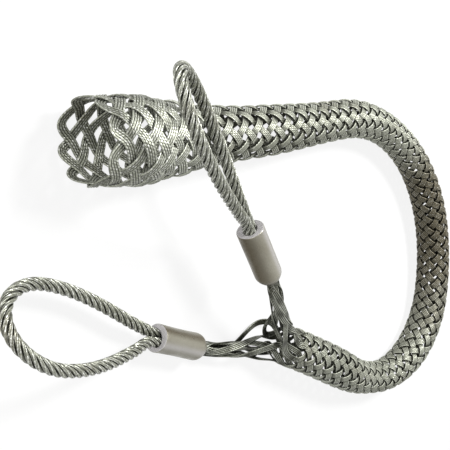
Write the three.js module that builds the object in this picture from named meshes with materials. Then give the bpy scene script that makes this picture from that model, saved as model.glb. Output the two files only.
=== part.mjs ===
// Cable pulling grip, double eye, open ended. Millimetres, +Z up, lying on the ground.
// A sock of flat wire ribbons is plaited one over one. At the far end its sixteen ribbon ends
// part into two legs of eight, each leg is pressed into a ferrule, and each ferrule holds both
// ends of a six strand wire rope bent into an eye.
import * as THREE from 'three';

const TAU = Math.PI * 2;
const rad = (degrees) => (degrees * Math.PI) / 180;
const mix = (a, b, t) => a + (b - a) * t;
const ease = (t) => {
  const c = Math.min(1, Math.max(0, t));
  return c * c * (3 - 2 * c);
};
const V = (x, y, z) => new THREE.Vector3(x, y, z);

// Woven sock
const RIBBONS = 8; // ribbons turning each way round the sock
const POINTS = RIBBONS * 2; // crossings and gaps met on one ring of the weave
const WALL = 2.3; // two ribbons lying one on the other
const PIT = 0.95; // how far the wall sinks between crossings
const RIBBON_WIDTH = 4.6; // four wires side by side
const SPREAD_WIDTH = 6.2; // the same four wires, loosened in the basket at the mouth
const BODY_ANGLE = 42.5; // degrees between a ribbon and the sock's axis
const BASKET_ANGLE = 58; // the same in the basket, where the weave is pushed open
const OPEN_ROWS = 12; // rows at the mouth whose gaps go right through
const MOST_COVER = 0.6; // share of the weave that a ribbon may cover where the gaps are open
const INNER_STEP = 4; // rows of weave to each ring of the smooth inside
const BASKET_RADIUS = 28.6; // outer radius where the basket is widest
const BODY_RADIUS = 18; // outer radius where the basket ends

// Outer radius of the sock at set distances from the mouth
const STATIONS = [
  { at: 0, radius: 26.6 },
  { at: 28, radius: BASKET_RADIUS },
  { at: 62, radius: 24.2 },
  { at: 96, radius: 20 },
  { at: 145, radius: BODY_RADIUS },
  { at: 240, radius: 15.2 },
  { at: 330, radius: 13.4 },
  { at: 450, radius: 14.3 },
  { at: 560, radius: 15.1 },
  { at: 625, radius: 13.6 },
  { at: 690, radius: 16.1 },
  { at: 757, radius: 15.6 },
];

// Plan of the sock on the ground: a long run, a wide bend, a tighter one, and a short run back
const MOUTH = { x: -140, y: 74.8, heading: -5.2 };
const RUN = [
  { length: 247, turn: 6.7 },
  { length: 123, turn: -47.3 },
  { length: 137, turn: -51.2 },
  { length: 112, turn: -94.6 },
  { length: 50, turn: -19.2 },
  { length: 88, turn: 2.8 },
];
const SOCK_LENGTH = RUN.reduce((sum, piece) => sum + piece.length, 0);

// The sock is one plaited length, drawn as four bodies that meet at a row of crossings
const LENGTHS = [
  { name: 'sock_basket', to: 112 },
  { name: 'sock_run', to: 247 },
  { name: 'sock_bend', to: 619 },
  { name: 'sock_tail', to: SOCK_LENGTH },
];
const LENGTH_GAP = 0.3;

// Ferrules
const FERRULE_RADIUS = 9.5;
const FERRULE_LENGTH = 46;
const FERRULE_TAPER = 7; // length of the pressed down end
const FERRULE_TIP_RADIUS = 6.6;
const ROPE_BORE = 6.3; // bore radius on the eye side
const STRAND_BORE = 5; // bore radius on the sock side
const GRIP_DEPTH = 21; // how far ropes and ribbons reach into a ferrule
const FERRULE_SIDES = 20;

// Eye ropes
const ROPE_RADIUS = 4;
const ROPE_STRANDS = 6;
const LAY_LENGTH = 38; // one full turn of the strands along the rope
const ROPE_GAP = 0.4; // between the two legs of an eye where they lie together
const PINCHED = 2.9; // half width of a rope leg pressed inside its ferrule
const EYE_LENGTH = 140;

// Ribbon ends in the legs
const STRAND_WIDTH = 4.3; // flat, where it leaves the weave
const STRAND_THICKNESS = 1.15;
const BUNCHED = 1.3; // half width of a ribbon end bunched up inside the ferrule
const BUNDLE_RADIUS = 3.34; // circle of seven ribbon ends round the eighth
const START_GAP = 0.3;
const LEG_TWIST = 200; // degrees the ribbon ends wind round each other on the way

// Each leg: where its ferrule's sock side end lies, where the ferrule points, how its eye lies,
// the first of its ribbons round the fork, how wide its ribbons lie round each other at first,
// and how far its loose ribbons bow out of the bundle
const LEGS = [
  {
    name: 'left',
    end: V(-34.9, -78.9, 10.4),
    heading: 156.2,
    pitch: 3,
    eye: { heading: 159, pitch: 11, roll: 36, halfWidth: 25.5 },
    firstRibbon: 10,
    bundle: 9,
    loose: { 1: { side: -13, up: -1, along: 0 }, 8: { side: -5, up: 4, along: 0 } },
  },
  {
    name: 'right',
    end: V(0.6, -30.4, 42.6),
    heading: 121.8,
    pitch: 2.5,
    eye: { heading: 130.5, pitch: 11.5, roll: 38, halfWidth: 22.5 },
    firstRibbon: 2,
    bundle: 7.5,
    loose: { 1: { side: 3, up: 3, along: 3 }, 8: { side: 6, up: -2, along: 8 } },
  },
];

const STEEL = { color: 0xa3a699, roughness: 0.42, metalness: 0.85 };
const ROPE_STEEL = { color: 0xa9aaa0, roughness: 0.36, metalness: 0.9 };
const PRESSED = { color: 0x9a9587, roughness: 0.38, metalness: 0.9 };

const group = new THREE.Group();
group.name = 'cable_pulling_grip';

// One closed body from shared points and triangles that face outward
function addBody(name, points, triangles, look) {
  const geometry = new THREE.BufferGeometry();
  const numbers = points.flatMap((p) => [p.x, p.y, p.z]);
  geometry.setAttribute('position', new THREE.Float32BufferAttribute(numbers, 3));
  geometry.setIndex(triangles.flat());
  const flat = geometry.toNonIndexed();
  flat.computeVertexNormals();
  const mesh = new THREE.Mesh(flat, new THREE.MeshStandardMaterial(look));
  mesh.name = name;
  group.add(mesh);
  return mesh;
}

// A body swept through a list of rings, each ring a list of the same number of points
function sweep(name, rings, look) {
  const sides = rings[0].length;
  const points = rings.flat();
  const triangles = [];
  for (let i = 0; i + 1 < rings.length; i += 1) {
    for (let j = 0; j < sides; j += 1) {
      const a = i * sides + j;
      const b = i * sides + ((j + 1) % sides);
      triangles.push([a, b, b + sides], [a, b + sides, a + sides]);
    }
  }
  const last = (rings.length - 1) * sides;
  for (let j = 1; j + 1 < sides; j += 1) {
    triangles.push([0, j + 1, j], [last, last + j, last + j + 1]);
  }
  return addBody(name, points, triangles, look);
}

// Direction in space from a heading and a pitch in degrees
function pointing(heading, pitch) {
  const level = Math.cos(rad(pitch));
  return V(level * Math.cos(rad(heading)), level * Math.sin(rad(heading)), Math.sin(rad(pitch)));
}

// Outer radius of the sock, eased from station to station
function sockRadius(s) {
  let i = 0;
  while (i + 2 < STATIONS.length && s > STATIONS[i + 1].at) i += 1;
  const a = STATIONS[i];
  const b = STATIONS[i + 1];
  const t = Math.min(1, Math.max(0, (s - a.at) / (b.at - a.at)));
  return mix(a.radius, b.radius, ease(t));
}

// Centre of the sock and the two directions across it, at a distance from the mouth
function sockFrame(s) {
  let x = MOUTH.x;
  let y = MOUTH.y;
  let heading = rad(MOUTH.heading);
  let left = s;
  for (const piece of RUN) {
    const last = piece === RUN[RUN.length - 1];
    const part = left > piece.length && !last ? piece.length : left;
    const bend = rad(piece.turn) / piece.length;
    x += (Math.sin(heading + bend * part) - Math.sin(heading)) / bend;
    y -= (Math.cos(heading + bend * part) - Math.cos(heading)) / bend;
    heading += bend * part;
    left -= part;
    if (left === 0) break;
  }
  return {
    centre: V(x, y, sockRadius(s)),
    along: V(Math.cos(heading), Math.sin(heading), 0),
    side: V(-Math.sin(heading), Math.cos(heading), 0),
    up: V(0, 0, 1),
  };
}

// How slack the weave is: nought along the body, one at the widest part of the basket
const slack = (s) => ease((sockRadius(s) - BODY_RADIUS) / (BASKET_RADIUS - BODY_RADIUS));

// Rows of crossings: their spacing follows from the radius and the ribbon angle
function layRows() {
  const spacing = (s) =>
    (sockRadius(s) * TAU) / POINTS / Math.tan(rad(mix(BODY_ANGLE, BASKET_ANGLE, slack(s))));
  const rows = [spacing(0)];
  while (rows[rows.length - 1] < SOCK_LENGTH) {
    const s = rows[rows.length - 1];
    rows.push(s + spacing(Math.min(s + spacing(s) / 2, SOCK_LENGTH)));
  }
  const stretch = SOCK_LENGTH / rows[rows.length - 1];
  return rows.map((s) => s * stretch);
}
const ROWS = layRows();
const LAST_ROW = ROWS.length - 1;

// Distance from the mouth of a place between two rows. Row minus one is the rim of the mouth.
function rowAt(k) {
  const low = Math.floor(k);
  const at = (i) => (i < 0 ? ROWS[0] + i * ROWS[0] : ROWS[Math.min(i, LAST_ROW)]);
  return mix(at(low), at(low + 1), k - low);
}

// A point of the sock's wall: row, place round, and how far in from the outer radius
function wallPoint(k, m, depth) {
  const s = rowAt(k);
  const f = sockFrame(s);
  const r = sockRadius(s) - depth;
  const angle = (m / POINTS) * TAU;
  return f.centre
    .clone()
    .addScaledVector(f.side, r * Math.cos(angle))
    .addScaledVector(f.up, r * Math.sin(angle));
}

// Share of the weave that one ribbon covers at row k. The corners of a crossing lie as far from
// its middle, counted in rows and in places round.
function cover(k) {
  const s = rowAt(Math.max(0, k));
  const angle = rad(mix(BODY_ANGLE, BASKET_ANGLE, slack(s)));
  const pitch = ((sockRadius(s) * TAU) / RIBBONS) * Math.cos(angle);
  return Math.min(MOST_COVER, mix(RIBBON_WIDTH, SPREAD_WIDTH, slack(s)) / pitch);
}

// Points and faces of one length of the wall, whose first row is set back by the gap
function startLength(name, first) {
  const points = [];
  const triangles = [];
  const seen = new Map();
  const setBack = first > 0 ? LENGTH_GAP / (ROWS[first + 1] - ROWS[first]) : 0;
  const id = (k, m, layer, depth) => {
    const round = ((m % POINTS) + POINTS) % POINTS;
    const key = `${k.toFixed(4)},${round.toFixed(4)},${layer}`;
    if (!seen.has(key)) {
      seen.set(key, points.length);
      points.push(wallPoint(k === first ? k + setBack : k, round, depth));
    }
    return seen.get(key);
  };
  return {
    outer: (k, m, sink) => id(k, m, 'outer', sink),
    inner: (k, m) => id(k, m, 'inner', WALL),
    face: (a, b, c) => triangles.push([a, b, c]),
    finish: () => addBody(name, points, triangles, STEEL),
  };
}

// The open weave at the mouth: crossings, the ribbon lengths between them, and real gaps
function weaveBasket({ outer, inner, face }) {
  // A strip of wall between two places, closing the outside to the inside
  const edge = (a, b) => {
    const [ao, bo, ai, bi] = [outer(...a, PIT / 2), outer(...b, PIT / 2), inner(...a), inner(...b)];
    face(ao, bi, bo);
    face(ao, ai, bi);
  };
  // A flat patch through several places, outside and inside, listed the way round that faces out
  const patch = (places) => {
    for (let i = 1; i + 1 < places.length; i += 1) {
      const [a, b, c] = [places[0], places[i], places[i + 1]];
      face(outer(...a, PIT / 2), outer(...b, PIT / 2), outer(...c, PIT / 2));
      face(inner(...a), inner(...c), inner(...b));
    }
  };
  // A raised crossing: four faces up to a peak outside, plain inside
  const crossing = (k, m, corners) => {
    const peak = outer(k, m, 0);
    corners.forEach((a, i) => {
      const b = corners[(i + 1) % corners.length];
      face(peak, outer(...a, PIT / 2), outer(...b, PIT / 2));
    });
    for (let i = 1; i + 1 < corners.length; i += 1) {
      face(inner(...corners[0]), inner(...corners[i + 1]), inner(...corners[i]));
    }
  };

  // The last open crossing runs on into the solid wall
  const halfCrossing = (k, m, c) => {
    const peak = outer(k, m, 0);
    face(peak, outer(...c.less, PIT / 2), outer(...c.back, PIT / 2));
    face(peak, outer(...c.back, PIT / 2), outer(...c.more, PIT / 2));
    face(inner(...c.back), inner(...c.less), inner(k, m));
    face(inner(...c.back), inner(k, m), inner(...c.more));
  };

  const corner = (k, m, h) => ({
    back: [k - h, m],
    ahead: [k + h, m],
    less: [k, m - h],
    more: [k, m + h],
  });

  // Rim of the mouth: each ribbon turns round in a rounded loop
  for (let m = 1; m < POINTS; m += 2) {
    const h = cover(0);
    const c = corner(-1, m, h);
    const left = [-1 - 0.75 * h, m - 0.7 * h];
    const tip = [-1 - h, m];
    const right = [-1 - 0.75 * h, m + 0.7 * h];
    patch([c.less, left, tip, right, c.more, c.ahead]);
    edge(c.less, left);
    edge(left, tip);
    edge(tip, right);
    edge(right, c.more);
  }

  // Open rows: a crossing, the two ribbon lengths that lead back from it, and the gap behind it
  for (let k = 0; k <= OPEN_ROWS; k += 1) {
    const h = cover(k);
    const before = cover(k - 1);
    for (let m = k % 2; m < POINTS; m += 2) {
      const c = corner(k, m, h);
      const toLess = corner(k - 1, m - 1, before);
      const toMore = corner(k - 1, m + 1, before);
      if (k < OPEN_ROWS) crossing(k, m, [c.back, c.more, c.ahead, c.less]);
      else halfCrossing(k, m, c);
      patch([toLess.ahead, toLess.more, c.back, c.less]);
      patch([toMore.less, toMore.ahead, c.more, c.back]);
      // edges of the gap that lies behind this crossing
      edge(toLess.more, c.back);
      edge(c.back, toMore.less);
      // edges of the gap beside it
      edge(c.less, toLess.ahead);
      edge(toMore.ahead, c.more);
    }
  }
  for (let m = (OPEN_ROWS + 1) % 2; m < POINTS; m += 2) {
    const h = cover(OPEN_ROWS);
    const k = OPEN_ROWS;
    edge([k, m - 1 + h], [k, m]);
    edge([k, m], [k, m + 1 - h]);
  }
}

// How far the wall sinks at a place on a row: nought on a crossing, the pit's depth between
function sinkAt(row, place) {
  const crossing = (row + (((place % POINTS) + POINTS) % POINTS)) % 2 === 0;
  if (crossing) return 0;
  return row === OPEN_ROWS ? PIT / 2 : PIT;
}

// A stretch of closed wall: peaks at the crossings, pits between, and a smooth inside
function addWall({ outer, inner, face }, from, to) {
  for (let k = from; k < to; k += 1) {
    for (let m = 0; m < POINTS; m += 1) {
      const a = outer(k, m, sinkAt(k, m));
      const b = outer(k, m + 1, sinkAt(k, m + 1));
      const c = outer(k + 1, m + 1, sinkAt(k + 1, m + 1));
      const d = outer(k + 1, m, sinkAt(k + 1, m));
      const rising = (k + m) % 2 === 0;
      if (k === OPEN_ROWS) {
        // the first closed row also meets the corners of the last open crossings
        const h = cover(k);
        const split = outer(k, rising ? m + h : m + 1 - h, PIT / 2);
        if (rising) {
          face(a, split, c);
          face(split, b, c);
          face(a, c, d);
        } else {
          face(a, split, d);
          face(split, b, d);
          face(b, c, d);
        }
      } else if (rising) {
        face(a, b, c);
        face(a, c, d);
      } else {
        face(a, b, d);
        face(b, c, d);
      }
    }
  }
  const rings = [];
  for (let k = from; k < to; k += INNER_STEP) rings.push(k);
  if (to - rings[rings.length - 1] < INNER_STEP && rings.length > 2) rings.pop();
  rings.push(to);
  for (let i = 0; i + 1 < rings.length; i += 1) {
    for (let m = 0; m < POINTS; m += 1) {
      const a = inner(rings[i], m);
      const b = inner(rings[i], m + 1);
      const c = inner(rings[i + 1], m + 1);
      const d = inner(rings[i + 1], m);
      if (rings[i] === OPEN_ROWS) {
        const h = cover(OPEN_ROWS);
        const split = inner(OPEN_ROWS, (OPEN_ROWS + m) % 2 === 0 ? m + h : m + 1 - h);
        face(a, d, split);
        face(split, d, c);
        face(split, c, b);
      } else {
        face(a, c, b);
        face(a, d, c);
      }
    }
  }
}

// The plain end of a length, facing along the sock or back to the mouth
function closeEnd({ outer, inner, face }, row, along) {
  for (let m = 0; m < POINTS; m += 1) {
    const a = outer(row, m, sinkAt(row, m));
    const b = outer(row, m + 1, sinkAt(row, m + 1));
    const c = inner(row, m + 1);
    const d = inner(row, m);
    if (along) {
      face(a, b, c);
      face(a, c, d);
    } else {
      face(a, c, b);
      face(a, d, c);
    }
  }
}

function addSock() {
  let first = 0;
  LENGTHS.forEach(({ name, to }, i) => {
    const reached = ROWS.findIndex((s) => s >= to - 0.001);
    const last = i === LENGTHS.length - 1 ? LAST_ROW : Math.max(reached, first + 2, OPEN_ROWS + 2);
    const length = startLength(name, first);
    if (i === 0) weaveBasket(length);
    else closeEnd(length, first, false);
    addWall(length, i === 0 ? OPEN_ROWS : first, last);
    closeEnd(length, last, true);
    length.finish();
    first = last;
  });
}

// Ferrule: a thick tube, its sock side end pressed down to a taper
function addFerrule(leg) {
  const axis = pointing(leg.heading, leg.pitch);
  const side = V(-Math.sin(rad(leg.heading)), Math.cos(rad(leg.heading)), 0);
  const up = new THREE.Vector3().crossVectors(axis, side);
  const profile = [
    [0, STRAND_BORE],
    [0, FERRULE_TIP_RADIUS - 0.4],
    [FERRULE_TAPER * 0.45, mix(FERRULE_TIP_RADIUS, FERRULE_RADIUS, 0.62)],
    [FERRULE_TAPER, FERRULE_RADIUS],
    [FERRULE_LENGTH - 0.7, FERRULE_RADIUS],
    [FERRULE_LENGTH, FERRULE_RADIUS - 0.7],
    [FERRULE_LENGTH, ROPE_BORE],
    [FERRULE_LENGTH / 2, ROPE_BORE],
    [FERRULE_LENGTH / 2, STRAND_BORE],
  ];
  const points = [];
  const triangles = [];
  profile.forEach(([x, r]) => {
    for (let j = 0; j < FERRULE_SIDES; j += 1) {
      const a = (j / FERRULE_SIDES) * TAU;
      points.push(
        leg.end
          .clone()
          .addScaledVector(axis, x)
          .addScaledVector(side, r * Math.cos(a))
          .addScaledVector(up, r * Math.sin(a)),
      );
    }
  });
  profile.forEach((_, i) => {
    const next = (i + 1) % profile.length;
    for (let j = 0; j < FERRULE_SIDES; j += 1) {
      const k = (j + 1) % FERRULE_SIDES;
      const [a, b] = [i * FERRULE_SIDES + j, i * FERRULE_SIDES + k];
      const [c, d] = [next * FERRULE_SIDES + k, next * FERRULE_SIDES + j];
      triangles.push([a, b, c], [a, c, d]);
    }
  });
  addBody(`${leg.name}_ferrule`, points, triangles, PRESSED);
}

// Centre line of an eye, in its own plane: two legs that part and meet again round the tip
function eyeCurve(halfWidth) {
  const path = new THREE.CurvePath();
  const wide = 0.715 * EYE_LENGTH;
  const near = PINCHED + ROPE_GAP / 2;
  const quarter = 0.552;
  const leg = (sign) => [
    new THREE.CubicBezierCurve3(
      V(0, sign * near, 0),
      V(0.136 * EYE_LENGTH, sign * near, 0),
      V(0.4 * EYE_LENGTH, sign * halfWidth, 0),
      V(wide, sign * halfWidth, 0),
    ),
    new THREE.CubicBezierCurve3(
      V(wide, sign * halfWidth, 0),
      V(mix(wide, EYE_LENGTH, quarter), sign * halfWidth, 0),
      V(EYE_LENGTH, sign * quarter * halfWidth, 0),
      V(EYE_LENGTH, 0, 0),
    ),
  ];
  const back = (curve) => new THREE.CubicBezierCurve3(curve.v3, curve.v2, curve.v1, curve.v0);
  const [out, tip] = leg(1);
  const [home, turn] = leg(-1);
  path.add(new THREE.LineCurve3(V(-GRIP_DEPTH, near, 0), V(0, near, 0)));
  path.add(out);
  path.add(tip);
  path.add(back(turn));
  path.add(back(home));
  path.add(new THREE.LineCurve3(V(0, -near, 0), V(-GRIP_DEPTH, -near, 0)));
  return path;
}

// Eye rope: six strands, shown as a six cornered section that turns with the lay
function addEye(leg) {
  const mouth = leg.end.clone().addScaledVector(pointing(leg.heading, leg.pitch), FERRULE_LENGTH);
  const basis = (heading, pitch, roll) => {
    const axis = pointing(heading, pitch);
    const level = V(-Math.sin(rad(heading)), Math.cos(rad(heading)), 0);
    const lift = new THREE.Vector3().crossVectors(axis, level);
    const across = level
      .clone()
      .multiplyScalar(Math.cos(rad(roll)))
      .addScaledVector(lift, Math.sin(rad(roll)));
    return { axis, across, normal: new THREE.Vector3().crossVectors(axis, across) };
  };
  const held = basis(leg.heading, leg.pitch, leg.eye.roll);
  const free = basis(leg.eye.heading, leg.eye.pitch, leg.eye.roll);
  const place = (p) => {
    // inside the ferrule the rope follows the ferrule, and bends to the eye's plane outside it
    const t = ease(p.x / (FERRULE_LENGTH * 0.6));
    const at = (b) =>
      mouth
        .clone()
        .addScaledVector(b.axis, p.x)
        .addScaledVector(b.across, p.y)
        .addScaledVector(b.normal, p.z);
    return at(held).lerp(at(free), t);
  };
  const path = eyeCurve(leg.eye.halfWidth);
  const length = path.getLength();
  const steps = Math.round((length / LAY_LENGTH) * 8);
  const rings = [];
  for (let i = 0; i <= steps; i += 1) {
    const p = path.getPointAt(i / steps);
    const tangent = path.getTangentAt(i / steps);
    const across = V(-tangent.y, tangent.x, 0);
    const half = Math.min(ROPE_RADIUS, Math.abs(p.y) - ROPE_GAP / 2);
    const squeeze = p.x < EYE_LENGTH / 2 ? half / ROPE_RADIUS : 1;
    const ring = [];
    for (let j = 0; j < ROPE_STRANDS; j += 1) {
      const a = ((j / ROPE_STRANDS) + ((i / steps) * length) / LAY_LENGTH) * TAU;
      const q = p
        .clone()
        .addScaledVector(across, ROPE_RADIUS * squeeze * Math.cos(a))
        .add(V(0, 0, ROPE_RADIUS * Math.sin(a)));
      ring.push(place(q));
    }
    rings.push(ring);
  }
  sweep(`${leg.name}_eye_rope`, rings, ROPE_STEEL);
}

// Ribbon ends: flat where they leave the weave, bunched up and wound together at the ferrule
const LEG_STEPS = 12;
function addLeg(leg) {
  const fork = sockFrame(SOCK_LENGTH);
  const intoFerrule = pointing(leg.heading, leg.pitch);
  const middle = ((leg.firstRibbon + RIBBONS / 2) / POINTS) * TAU;
  const outward = fork.side
    .clone()
    .multiplyScalar(Math.cos(middle))
    .addScaledVector(fork.up, Math.sin(middle));
  const start = fork.centre.clone().addScaledVector(outward, sockRadius(SOCK_LENGTH) * 0.45);
  const reach = leg.end.distanceTo(start);
  const core = new THREE.CubicBezierCurve3(
    start,
    start.clone().addScaledVector(fork.along, reach * 0.3),
    leg.end.clone().addScaledVector(intoFerrule, -reach * 0.35),
    leg.end.clone(),
  );
  for (let n = 0; n < RIBBONS; n += 1) {
    const m = leg.firstRibbon + n + 0.5;
    const angle = (m / POINTS) * TAU;
    const spoke = fork.side
      .clone()
      .multiplyScalar(Math.cos(angle))
      .addScaledVector(fork.up, Math.sin(angle));
    const root = fork.centre.clone().addScaledVector(spoke, sockRadius(SOCK_LENGTH) - WALL / 2 - PIT / 4);
    const inMiddle = n === RIBBONS / 2;
    const seat = n < RIBBONS / 2 ? n : n - 1;
    const slackened = leg.loose[n + 1];
    const rings = [];
    for (let i = 0; i <= LEG_STEPS + 1; i += 1) {
      const t = Math.min(1, i / LEG_STEPS) ** 1.2;
      const along = core.getTangentAt(t);
      const c = core.getPointAt(t);
      if (i === LEG_STEPS + 1) {
        along.copy(intoFerrule);
        c.addScaledVector(intoFerrule, GRIP_DEPTH);
      }
      const side = new THREE.Vector3().crossVectors(V(0, 0, 1), along).normalize();
      const up = new THREE.Vector3().crossVectors(along, side);
      const turn = middle + rad((seat - (RIBBONS - 2) / 2) * (360 / (RIBBONS - 1)) + LEG_TWIST * t);
      const ray = side.clone().multiplyScalar(Math.cos(turn)).addScaledVector(up, Math.sin(turn));
      const ring = inMiddle ? 0 : mix(leg.bundle, BUNDLE_RADIUS, ease(t / 0.8));
      const wound = c.clone().addScaledVector(ray, ring);
      const free = root.clone().addScaledVector(fork.along, START_GAP + t * reach);
      const gather = ease(t / 0.3);
      const at = free.lerp(wound, gather);
      if (slackened) {
        const bow = Math.sin(Math.PI * Math.min(1, t / 0.62)) ** 2;
        at.addScaledVector(fork.side, slackened.side * bow)
          .addScaledVector(fork.up, slackened.up * bow)
          .addScaledVector(fork.along, slackened.along * bow);
      }
      const radial = spoke.clone().lerp(ray, gather).normalize();
      const forward = fork.along.clone().lerp(along, gather).normalize();
      const wide = new THREE.Vector3().crossVectors(radial, forward).normalize();
      const thick = new THREE.Vector3().crossVectors(forward, wide).normalize();
      const half = mix(STRAND_WIDTH / 2, BUNCHED, ease(t / 0.8));
      const flat = mix(STRAND_THICKNESS / 2, BUNCHED, ease(t / 0.8));
      const section = [];
      for (let j = 0; j < 6; j += 1) {
        const a = (j / 6) * TAU;
        section.push(
          at
            .clone()
            .addScaledVector(wide, half * Math.cos(a))
            .addScaledVector(thick, flat * 1.1 * Math.sin(a)),
        );
      }
      rings.push(section);
    }
    sweep(`${leg.name}_leg_strand_${n + 1}`, rings, STEEL);
  }
}

addSock();
LEGS.forEach((leg) => {
  addLeg(leg);
  addFerrule(leg);
  addEye(leg);
});

// The middle of the footprint is the origin, on the ground
const box = new THREE.Box3().setFromObject(group);
const middle = box.getCenter(new THREE.Vector3());
group.children.forEach((mesh) => mesh.geometry.translate(-middle.x, -middle.y, -box.min.z));

export default group;
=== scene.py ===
# Cable pulling grip, double eye, open ended, lying on a pale floor. Metres and degrees, +Z up.
import math

import bpy
import numpy as np
from mathutils import Matrix, Vector


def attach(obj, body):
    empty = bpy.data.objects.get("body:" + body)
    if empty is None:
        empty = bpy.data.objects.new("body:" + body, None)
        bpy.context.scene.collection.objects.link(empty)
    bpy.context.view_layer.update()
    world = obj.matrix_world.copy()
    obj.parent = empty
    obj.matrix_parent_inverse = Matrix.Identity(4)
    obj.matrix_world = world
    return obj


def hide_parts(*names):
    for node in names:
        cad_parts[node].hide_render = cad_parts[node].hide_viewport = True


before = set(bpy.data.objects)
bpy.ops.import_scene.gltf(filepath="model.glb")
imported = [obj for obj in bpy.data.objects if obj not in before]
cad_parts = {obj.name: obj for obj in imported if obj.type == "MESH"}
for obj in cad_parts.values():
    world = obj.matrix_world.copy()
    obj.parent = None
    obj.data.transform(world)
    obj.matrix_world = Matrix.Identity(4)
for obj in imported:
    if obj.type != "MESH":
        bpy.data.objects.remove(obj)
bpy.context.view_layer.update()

# Camera
# The picture looks down at the grip from its mouth end, with the camera turned nearly on its side,
# so that the sock's straight run lies level in the picture and the eyes point left.
PICTURE_PIXELS = 450
FOCAL_PIXELS = 914
CAMERA_DISTANCE = 0.640
CAMERA_DOWN = 42
CAMERA_HEADING = -18
CAMERA_LEAN = 13
FILM_WIDTH = 36
# The layout's own origin is the point that the camera aims at. The frame's origin is the middle of
# the footprint, which lies here in the layout.
FOOTPRINT_X = 0.033081
FOOTPRINT_Y = -0.028637

down, turn, lean = (math.radians(a) for a in (CAMERA_DOWN, CAMERA_HEADING, CAMERA_LEAN))
level = Vector((math.cos(turn), math.sin(turn), 0))
looking = level * math.cos(down) - Vector((0, 0, math.sin(down)))
rising = level * math.sin(down) + Vector((0, 0, math.cos(down)))
sideways = level.cross(Vector((0, 0, 1)))
picture_right = rising * math.cos(lean) - sideways * math.sin(lean)
picture_up = -rising * math.sin(lean) - sideways * math.cos(lean)
aim = Vector((-FOOTPRINT_X, -FOOTPRINT_Y, 0))

camera_data = bpy.data.cameras.new("camera")
camera_data.sensor_width = FILM_WIDTH
camera_data.lens = FILM_WIDTH * FOCAL_PIXELS / PICTURE_PIXELS
camera_data.clip_start = 0.01
camera = bpy.data.objects.new("camera", camera_data)
turned = Matrix((picture_right, picture_up, -looking)).transposed().to_4x4()
camera.matrix_world = Matrix.Translation(aim - looking * CAMERA_DISTANCE) @ turned
bpy.context.collection.objects.link(camera)
bpy.context.scene.camera = camera

# Floor and light
# A plain pale floor in a white room, with one soft lamp beyond the sock's straight run and a
# weaker one at the eyes' side, so that the underside of each ribbon stays dark.
FLOOR_COLOUR = (0.80, 0.80, 0.79, 1)
FLOOR_REACH = 6.0
FLOOR_SINK = 0.0003
FLOOR_ROUGHNESS = 0.9
FLOOR_GLOW = 0.86
ROOM_LIGHT = 0.17
LAMPS = (
    {"name": "key_lamp", "at": (0.42, 0.62, 0.95), "size": 0.30, "watts": 24},
    {"name": "fill_lamp", "at": (-1.05, 0.25, 0.6), "size": 0.5, "watts": 9},
)

room = bpy.data.worlds.new("room")
bpy.context.scene.world = room
room.use_nodes = True
nodes, links = room.node_tree.nodes, room.node_tree.links
background = nodes["Background"]
background.inputs["Color"].default_value = (1, 1, 1, 1)
seen = nodes.new("ShaderNodeLightPath")
either = nodes.new("ShaderNodeMath")
either.operation = "MAXIMUM"
links.new(seen.outputs["Is Camera Ray"], either.inputs[0])
links.new(seen.outputs["Is Glossy Ray"], either.inputs[1])
strength = nodes.new("ShaderNodeMapRange")
strength.inputs["To Min"].default_value = ROOM_LIGHT
strength.inputs["To Max"].default_value = 1.0
links.new(either.outputs[0], strength.inputs["Value"])
links.new(strength.outputs["Result"], background.inputs["Strength"])

for lamp in LAMPS:
    lamp_data = bpy.data.lights.new(lamp["name"], "AREA")
    lamp_data.size = lamp["size"]
    lamp_data.energy = lamp["watts"]
    lamp_object = bpy.data.objects.new(lamp["name"], lamp_data)
    lamp_object.location = lamp["at"]
    lamp_object.rotation_euler = (-Vector(lamp["at"])).to_track_quat("-Z", "Y").to_euler()
    bpy.context.collection.objects.link(lamp_object)

floor_mesh = bpy.data.meshes.new("floor")
floor_corners = np.array(((-1, -1, 0), (1, -1, 0), (1, 1, 0), (-1, 1, 0))) * FLOOR_REACH
floor_corners[:, 2] = -FLOOR_SINK
floor_mesh.from_pydata(floor_corners.tolist(), [], [(0, 1, 2, 3)])
floor = bpy.data.objects.new("floor", floor_mesh)
bpy.context.collection.objects.link(floor)
floor_paint = bpy.data.materials.new("pale_floor")
floor_paint.use_nodes = True
floor_shader = floor_paint.node_tree.nodes["Principled BSDF"]
floor_shader.inputs["Base Color"].default_value = FLOOR_COLOUR
floor_shader.inputs["Roughness"].default_value = FLOOR_ROUGHNESS
# seen by the camera and in the metal, the floor is nearly white and keeps a faint shadow
nodes, links = floor_paint.node_tree.nodes, floor_paint.node_tree.links
glow = nodes.new("ShaderNodeEmission")
blend = nodes.new("ShaderNodeMixShader")
seen = nodes.new("ShaderNodeLightPath")
either = nodes.new("ShaderNodeMath")
either.operation = "MAXIMUM"
share = nodes.new("ShaderNodeMath")
share.operation = "MULTIPLY"
share.inputs[1].default_value = FLOOR_GLOW
links.new(seen.outputs["Is Camera Ray"], either.inputs[0])
links.new(seen.outputs["Is Glossy Ray"], either.inputs[1])
links.new(either.outputs[0], share.inputs[0])
links.new(share.outputs[0], blend.inputs["Fac"])
links.new(floor_shader.outputs[0], blend.inputs[1])
links.new(glow.outputs[0], blend.inputs[2])
links.new(blend.outputs[0], nodes["Material Output"].inputs["Surface"])
floor_mesh.materials.append(floor_paint)

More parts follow.
